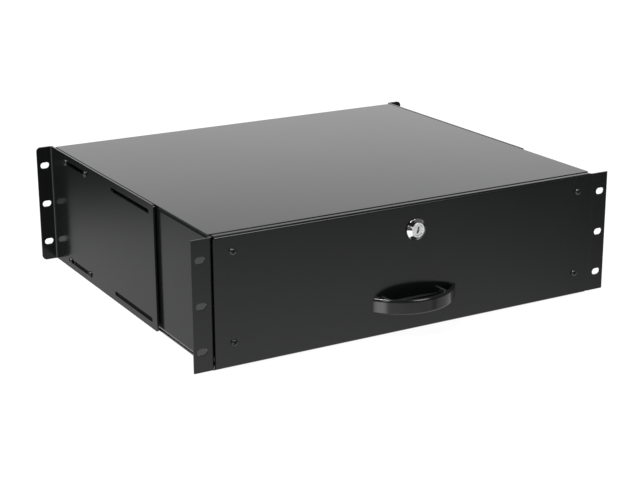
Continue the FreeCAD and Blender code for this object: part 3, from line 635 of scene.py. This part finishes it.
TURNED_TO_FRONT = Matrix.Rotation(RIGHT_ANGLE, 4, "X")
LOCK_BARREL = 7.5 * MM
BARREL_CHAMFER = 0.4 * MM
FLANGE_RIM = 0.15 * MM
FLANGE_FACE = 1.3 * MM
CONE_START = 1.5 * MM
CONE_SETBACK = 0.5 * MM
CONE_INSET = 3.85 * MM
CONE_TIP = 0.3 * MM
BEZEL_EASE = 0.12 * MM
PLUG_PLAY = 0.06 * MM
PLUG_RIM = 0.2 * MM
PLUG_RIM_START = 0.3 * MM
KEYWAY_LEAN = math.radians(-12)
KEYWAY_HALF = 0.95 * MM
KEYWAY_RISE = 3.4 * MM
KEYWAY_WARD = 0.6 * MM
KEYWAY_DEPTH = 8.5 * MM
TENON_HALF = 3 * MM
TENON_SUNK = 0.2 * MM
CUT_PAST = 1 * MM


def arc(centre, radius, start, end, steps):
    """Points on an arc in a profile's (radius, height) plane, angles in degrees."""
    angles = [math.radians(start + (end - start) * step / steps) for step in range(steps + 1)]
    return [
        (centre[0] + radius * math.cos(angle), centre[1] + radius * math.sin(angle))
        for angle in angles
    ]


def cam_lock():
    """The lock's turned housing with a conical bezel, and its plug with a keyway."""
    low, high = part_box("lock_housing")
    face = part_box("drawer_front")[0].y
    at_face = Matrix.Translation((0, face, (low.z + high.z) / 2)) @ TURNED_TO_FRONT
    lock_housing(low, high, face, at_face)
    lock_plug(face, at_face)


def lock_housing(low, high, face, at_face):
    plug_low, plug_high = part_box("lock_plug")
    flange = (high.z - low.z) / 2
    reach = face - low.y
    tail = high.y - face
    bore = (plug_high.z - plug_low.z) / 2 + PLUG_PLAY
    profile = [(LOCK_BARREL - BARREL_CHAMFER, -tail), (LOCK_BARREL, -tail + BARREL_CHAMFER)]
    profile += [(LOCK_BARREL, 0)]
    profile += arc((flange - FLANGE_RIM, FLANGE_FACE - FLANGE_RIM), FLANGE_RIM, 0, 60, 4)
    profile += [(flange - CONE_SETBACK, CONE_START)]
    profile += arc((flange - CONE_INSET, reach - CONE_TIP), CONE_TIP, 47, 90, 4)
    profile += [(bore + BEZEL_EASE, reach), (bore, reach - BEZEL_EASE), (bore, -tail)]
    shell = mesh_from(lathe(profile, 96), "lock_shell")
    shell.transform(at_face)
    add_piece("lock_housing_turned", shell, "drawer", "chrome_plate", ["lock_housing"], sharp=24)


def lock_plug(face, at_face):
    low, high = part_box("lock_plug")
    radius = (high.z - low.z) / 2
    front = face - low.y
    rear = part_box("lock_cam")[0].y - face
    profile = [(0, -rear), (radius, -rear), (radius, front - PLUG_RIM_START)]
    profile += arc((radius - PLUG_RIM, front - PLUG_RIM), PLUG_RIM, 15, 90, 3)
    profile += [(0, front)]
    solid = mesh_from(lathe(profile, 72), "plug")
    half = KEYWAY_HALF
    left_ward = -half + KEYWAY_WARD
    right_ward = half + KEYWAY_WARD
    slit = [
        (-half, -KEYWAY_RISE), (half, -KEYWAY_RISE),
        (half, -0.9 * MM), (right_ward, -0.9 * MM), (right_ward, 0.3 * MM), (half, 0.3 * MM),
        (half, KEYWAY_RISE), (-half, KEYWAY_RISE),
        (-half, 1.4 * MM), (left_ward, 1.4 * MM), (left_ward, 0.5 * MM), (-half, 0.5 * MM),
    ]
    cutter = mesh_from(prism(slit, front - KEYWAY_DEPTH, front + CUT_PAST), "keyway")
    cutter.transform(Matrix.Rotation(KEYWAY_LEAN, 4, "Z"))
    core = combined("DIFFERENCE", solid, cutter, "plug_core")
    core.transform(at_face)
    square = oblong(-TENON_HALF, TENON_HALF, -TENON_HALF, TENON_HALF)
    tenon = mesh_from(prism(square, face - high.y, -rear + TENON_SUNK), "tenon")
    tenon.transform(at_face)
    both = joined([(core, Matrix()), (tenon, Matrix())], "lock_plug_turned")
    add_piece("lock_plug_turned", both, "lock_core", "chrome_plate", ["lock_plug"], sharp=24)


PULL_LOWERED = 1.2 * MM
PULL_RAISED = 0.7 * MM
PULL_WALL = 2.5 * MM
PULL_FLOOR = 2.5 * MM
PULL_BACK = 2.5 * MM
LIP_WIDTH = 1.8 * MM
LIP_HEIGHT = 3.2 * MM
LIP_STEPS = 12
INNER_LIP = 0.6 * MM
FOOT_RADIUS = 1.6 * MM
CUP_FOOT = 1.0 * MM
BACK_INSET = 7 * MM
BACK_DEPTH = 3 * MM
BACK_HEIGHT = 0.55
BOSS_RADIUS = 4.5 * MM
BOSS_LENGTH = 9.5 * MM
BOSS_EASE = 0.6 * MM
SCREW_HOLE = 2.05 * MM
SCREW_HOLE_DEPTH = 8 * MM


def kept_between(form, y_low, y_high, reach, name):
    """What lies between two Y planes of a form that stays within the reach."""
    block = mesh_from(prism(oblong(-reach, reach, y_low, y_high), -reach, reach), "block")
    return combined("INTERSECT", form, block, name)


def turned_form(profile, centre, name):
    form = mesh_from(lathe(profile, 288), name)
    form.transform(Matrix.Translation(centre))
    return form


def moulded_pull():
    """The half-moon cup pull: a rounded lip round its open top, a soft lower edge, screw bosses."""
    low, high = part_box("pull_handle")
    low = low - Vector((0, 0, PULL_LOWERED))
    high = high + Vector((0, 0, PULL_RAISED))
    half = (high.x - low.x) / 2
    reach = high.y - low.y
    tall = high.z - low.z
    radius = (half * half + reach * reach) / (2 * reach)
    centre = Vector((0, low.y + radius, low.z))
    span = 4 * radius

    outside = [(0, 0)] + arc((radius - FOOT_RADIUS, FOOT_RADIUS), FOOT_RADIUS, -90, 0, 8)
    for step in range(LIP_STEPS + 1):
        angle = RIGHT_ANGLE * step / LIP_STEPS
        out = radius - LIP_WIDTH * (1 - math.cos(angle))
        outside.append((out, tall - LIP_HEIGHT * (1 - math.sin(angle))))
    outside.append((0, tall))
    puck = turned_form(outside, centre, "puck")
    body = kept_between(puck, low.y - span, high.y, span, "pull_body")

    inner = radius - PULL_WALL
    mouth = inner + INNER_LIP
    inside = [(0, PULL_FLOOR)] + arc((inner - CUP_FOOT, PULL_FLOOR + CUP_FOOT), CUP_FOOT, -90, 0, 4)
    inside += arc((mouth, tall - INNER_LIP), INNER_LIP, 180, 90, 5)
    inside += [(mouth, 2 * tall), (0, 2 * tall)]
    cup = turned_form(inside, centre, "cup")
    cup = kept_between(cup, low.y - span, high.y - PULL_BACK, span, "cup_front")
    body = combined("DIFFERENCE", body, cup, "pull_shell")

    step = oblong(-half + BACK_INSET, half - BACK_INSET, high.y - BACK_DEPTH, high.y + CUT_PAST)
    lowered = mesh_from(prism(step, low.z + BACK_HEIGHT * tall, high.z + CUT_PAST), "step")
    body = combined("DIFFERENCE", body, lowered, "pull_open")
    body = bossed(body, high.y)
    add_piece(
        "pull_handle_moulded", body, "drawer", "gloss_black_plastic", ["pull_handle"], sharp=32,
    )


def bossed(body, back):
    """The pull's body with a bored boss for each of its screws."""
    boss = [(0, 0), (BOSS_RADIUS, 0)]
    boss += arc((BOSS_RADIUS - BOSS_EASE, BOSS_LENGTH - BOSS_EASE), BOSS_EASE, 0, 90, 4)
    boss += [(0, BOSS_LENGTH)]
    hole = [
        (0, -CUT_PAST), (SCREW_HOLE, -CUT_PAST),
        (SCREW_HOLE, SCREW_HOLE_DEPTH), (0, SCREW_HOLE_DEPTH),
    ]
    forms = (("UNION", boss, 40, "boss"), ("DIFFERENCE", hole, 32, "hole"))
    for operation, profile, segments, name in forms:
        for points in solids("handle_screws"):
            low, high = box_of(points)
            at = (low + high) / 2
            form = mesh_from(lathe(profile, segments), name)
            form.transform(Matrix.Translation((at.x, back, at.z)) @ TURNED_TO_FRONT)
            body = combined(operation, body, form, "pull_" + name)
    return body


SHEETS = (
    ("left_side_panel", "housing"),
    ("right_side_panel", "housing"),
    ("top_cover", "housing"),
    ("base_pan", "housing"),
    ("rear_panel", "housing"),
    ("drawer_front", "drawer"),
    ("drawer_tray", "drawer"),
    ("tray_front_wall", "drawer"),
    ("tray_rear_wall", "drawer"),
    ("left_rear_bracket", "left_bracket"),
    ("right_rear_bracket", "right_bracket"),
)


def ease_sheets():
    for node, body in SHEETS:
        eased_sheet(node, body, "black_powder_coat")


def detail_fasteners():
    screws("face_screw_set", "face_screws", "drawer", "black_zinc_steel")
    nuts("face_nut_set", "face_nuts", "drawer", "zinc_plated_steel")
    screws("handle_screw_set", "handle_screws", "drawer", "zinc_plated_steel")
    nuts("lock_nut_turned", "lock_nut", "drawer", "zinc_plated_steel")
    screws("cam_screw_turned", "cam_screw", "lock_core", "zinc_plated_steel", FINE_PITCH)
    for side in ("left", "right"):
        bracket = side + "_bracket"
        screws(bracket + "_screw_set", bracket + "_screws", bracket, "black_zinc_steel")
        nuts(bracket + "_nut_set", bracket + "_nuts", bracket, "zinc_plated_steel")


# Studio

FLOOR_RADIUS = 25.0
FLOOR_GLOW = 0.96
FLOOR_GAP = 0.2 * MM
SHADOW_AHEAD = 3 * MM
SHADOW_EDGE = 1 * MM


def shaded_glow(finish):
    """The floor's own light, gone under the housing, where its shadow lies."""
    parts = finish.node("ShaderNodeSeparateXYZ")
    finish.link(finish.place, parts.inputs["Vector"])
    low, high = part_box("top_cover")
    inside = []
    for axis, start in ((0, low.x), (1, low.y - SHADOW_AHEAD)):
        offset = finish.maths("SUBTRACT", parts.outputs[axis], (start + high[axis]) / 2)
        away = finish.maths("ABSOLUTE", offset)
        inside.append(finish.maths("SUBTRACT", (high[axis] - start) / 2, away))
    nearest = finish.maths("MINIMUM", *inside)
    return finish.spread(nearest, FLOOR_GLOW, 0, 0, SHADOW_EDGE)


def studio_floor():
    """A plain pale floor under the object's lowest point, and a wall of the same paper round it."""
    mesh = bpy.data.meshes.new("studio_floor")
    shape = bmesh.new()
    bmesh.ops.create_circle(shape, cap_ends=True, segments=96, radius=FLOOR_RADIUS)
    rim = [edge for edge in shape.edges if edge.is_boundary]
    for made in bmesh.ops.extrude_edge_only(shape, edges=rim)["geom"]:
        if isinstance(made, bmesh.types.BMVert):
            made.co.z = FLOOR_RADIUS
    shape.to_mesh(mesh)
    shape.free()
    floor = bpy.data.objects.new("studio_floor", mesh)
    floor.location.z = CAD_BOX[0][2] - FLOOR_GAP
    bpy.context.scene.collection.objects.link(floor)
    finish = Finish("studio_floor_finish", Roughness=0.85)
    finish.link(shaded_glow(finish), finish.shader.inputs["Emission Strength"])
    finish.shader.inputs["Emission Color"].default_value = (1, 1, 1, 1)
    finish.shader.inputs["Specular IOR Level"].default_value = 0.1
    cloudy = finish.spread(finish.noise(0.8), 0, 1)
    finish.colour(cloudy, (0.055, 0.055, 0.055), (0.065, 0.065, 0.065))
    mesh.materials.append(finish.material)
    floor.visible_glossy = False


class WorldLight:
    """Builds the world's brightness by direction out of soft bands and cards of light."""

    def __init__(self):
        self.world = bpy.data.worlds.new("studio_world")
        self.world.use_nodes = True
        self.tree = self.world.node_tree
        self.background = self.tree.nodes["Background"]
        self.background.inputs["Color"].default_value = (1, 1, 1, 1)
        self.way = self.tree.nodes.new("ShaderNodeTexCoord").outputs["Generated"]
        self.total = None
        bpy.context.scene.world = self.world

    def along(self, direction):
        """How far each way lies towards the direction, from -1 to 1."""
        made = self.tree.nodes.new("ShaderNodeVectorMath")
        made.operation = "DOT_PRODUCT"
        made.inputs[1].default_value = Vector(direction).normalized()
        self.tree.links.new(self.way, made.inputs[0])
        return made.outputs["Value"]

    def step(self, value, start, end, low, high):
        """Goes softly from low to high while the value goes from start to end."""
        made = self.tree.nodes.new("ShaderNodeMapRange")
        made.interpolation_type = "SMOOTHSTEP"
        sockets = ("From Min", "From Max", "To Min", "To Max")
        for socket, number in zip(sockets, (start, end, low, high)):
            made.inputs[socket].default_value = number
        self.tree.links.new(value, made.inputs["Value"])
        return made.outputs["Result"]

    def maths(self, operation, first, second):
        made = self.tree.nodes.new("ShaderNodeMath")
        made.operation = operation
        self.tree.links.new(first, made.inputs[0])
        self.tree.links.new(second, made.inputs[1])
        return made.outputs["Value"]

    def add(self, light):
        self.total = self.maths("ADD", self.total, light) if self.total else light
        self.tree.links.new(self.total, self.background.inputs["Strength"])

    def blend(self, share, other):
        """Goes over to another brightness by the given share."""
        mix = self.tree.nodes.new("ShaderNodeMix")
        for socket, value in zip(("Factor", "A", "B"), (share, self.total, other)):
            self.tree.links.new(value, mix.inputs[socket])
        self.total = mix.outputs["Result"]

    def shade(self, direction, inner, outer, left):
        """Dims what is there already around a direction, down to the share left at its middle."""
        edge = math.cos(math.radians(outer))
        full = math.cos(math.radians(inner))
        share = self.step(self.along(direction), edge, full, 1, left)
        self.total = self.maths("MULTIPLY", self.total, share)

    def card(self, direction, inner, outer, strength):
        """A round soft card: full within the inner angle and none beyond the outer, in degrees."""
        edge = math.cos(math.radians(outer))
        full = math.cos(math.radians(inner))
        self.add(self.step(self.along(direction), edge, full, 0, strength))


# Ways to what lies round the object: a pale table shaded in places, a wall and a dark ceiling.
TABLE_CORNER = (0.6, -0.8, 0)
CORNER_LIFT = 0.055
TABLE_SHADE_RIGHT = (0.72, -0.66, -0.20)
TABLE_SHADE_BEHIND = (0.64, 0.70, -0.32)
TABLE_DUSK_LEFT = (-0.49, 0.80, -0.34)
WALL_MIDDLE = (0.515, 0.857, 0)
CEILING_SHADE = (-0.49, -0.52, 0.67)

# Soft cards of light: the way to each, full within and none beyond in degrees, strength.
CARDS = {
    "front_card": ((0.28, -0.80, 0.45), 8, 19, 6.5),
    "ceiling_card": ((-0.42, 0.0, 0.91), 10, 15, 30.0),
    "left_low_card": ((-0.84, -0.41, -0.35), 2, 16, 2.8),
    "left_high_card": ((-0.76, -0.56, 0.33), 5, 9, 5.0),
}


def studio_world():
    """A pale table, darker towards the horizon, a bright wall behind on the right, soft cards."""
    light = WorldLight()
    height = light.along((0, 0, 1))
    lift = light.step(light.along(TABLE_CORNER), start=0.2, end=0.8, low=0, high=CORNER_LIFT)
    raised = light.maths("ADD", height, lift)
    light.add(light.step(raised, start=-0.14, end=-0.36, low=0.06, high=1.0))
    light.shade(TABLE_SHADE_RIGHT, inner=4, outer=13, left=0.30)
    light.shade(TABLE_SHADE_BEHIND, inner=10, outer=34, left=0.45)
    dusk = light.step(light.along(TABLE_DUSK_LEFT), start=0.84, end=0.93, low=0, high=1)
    light.blend(dusk, light.step(height, start=-0.255, end=-0.300, low=0.01, high=0.52))
    above = light.step(height, start=0.0, end=0.12, low=0, high=1.0)
    wall = light.step(light.along(WALL_MIDDLE), start=0.70, end=0.93, low=0.09, high=0.785)
    top = light.step(height, start=0.17, end=0.42, low=1.50, high=0.40)
    light.add(light.maths("MULTIPLY", above, light.maths("MULTIPLY", wall, top)))
    light.shade(CEILING_SHADE, inner=20, outer=45, left=0.10)
    for direction, inner, outer, strength in CARDS.values():
        light.card(direction, inner, outer, strength)


SOFTBOX_PLACE = Vector((-0.1, 0.5, 2.4))
SOFTBOX_AIM = Vector((0, 0.2, 0))
SOFTBOX_SIZE = (2.2, 1.6)
SOFTBOX_WATTS = 8


def studio_lights():
    data = bpy.data.lights.new("overhead_softbox", "AREA")
    data.shape = "RECTANGLE"
    data.size, data.size_y = SOFTBOX_SIZE
    data.energy = SOFTBOX_WATTS
    light = bpy.data.objects.new("overhead_softbox", data)
    light.location = SOFTBOX_PLACE
    light.rotation_euler = (SOFTBOX_AIM - SOFTBOX_PLACE).to_track_quat("-Z", "Y").to_euler()
    bpy.context.scene.collection.objects.link(light)


# Camera: where it stands follows from what it looks at.

AIM = Vector((-0.0549, 0.0905, 0.0117))
AIM_DISTANCE = 1.55
AZIMUTH = math.radians(29.904)
ELEVATION = math.radians(17.299)
ROLL = math.radians(-0.212)
LENS = 85.79
SENSOR_WIDTH = 36.0


def studio_camera():
    forward = Vector((
        math.sin(AZIMUTH) * math.cos(ELEVATION),
        math.cos(AZIMUTH) * math.cos(ELEVATION),
        -math.sin(ELEVATION),
    ))
    level_right = forward.cross(Vector((0, 0, 1))).normalized()
    level_up = level_right.cross(forward)
    right = level_right * math.cos(ROLL) + level_up * math.sin(ROLL)
    up = level_up * math.cos(ROLL) - level_right * math.sin(ROLL)
    data = bpy.data.cameras.new("studio_camera")
    data.lens = LENS
    data.sensor_width = SENSOR_WIDTH
    data.clip_end = 3 * FLOOR_RADIUS
    camera = bpy.data.objects.new("studio_camera", data)
    facing = Matrix((right, up, -forward)).transposed().to_4x4()
    camera.matrix_world = Matrix.Translation(AIM - forward * AIM_DISTANCE) @ facing
    bpy.context.scene.collection.objects.link(camera)
    bpy.context.scene.camera = camera


dress_cad_nodes()
ease_sheets()
detail_fasteners()
cam_lock()
moulded_pull()
studio_floor()
studio_world()
studio_lights()
studio_camera()
bpy.context.scene.view_settings.view_transform = "Standard"
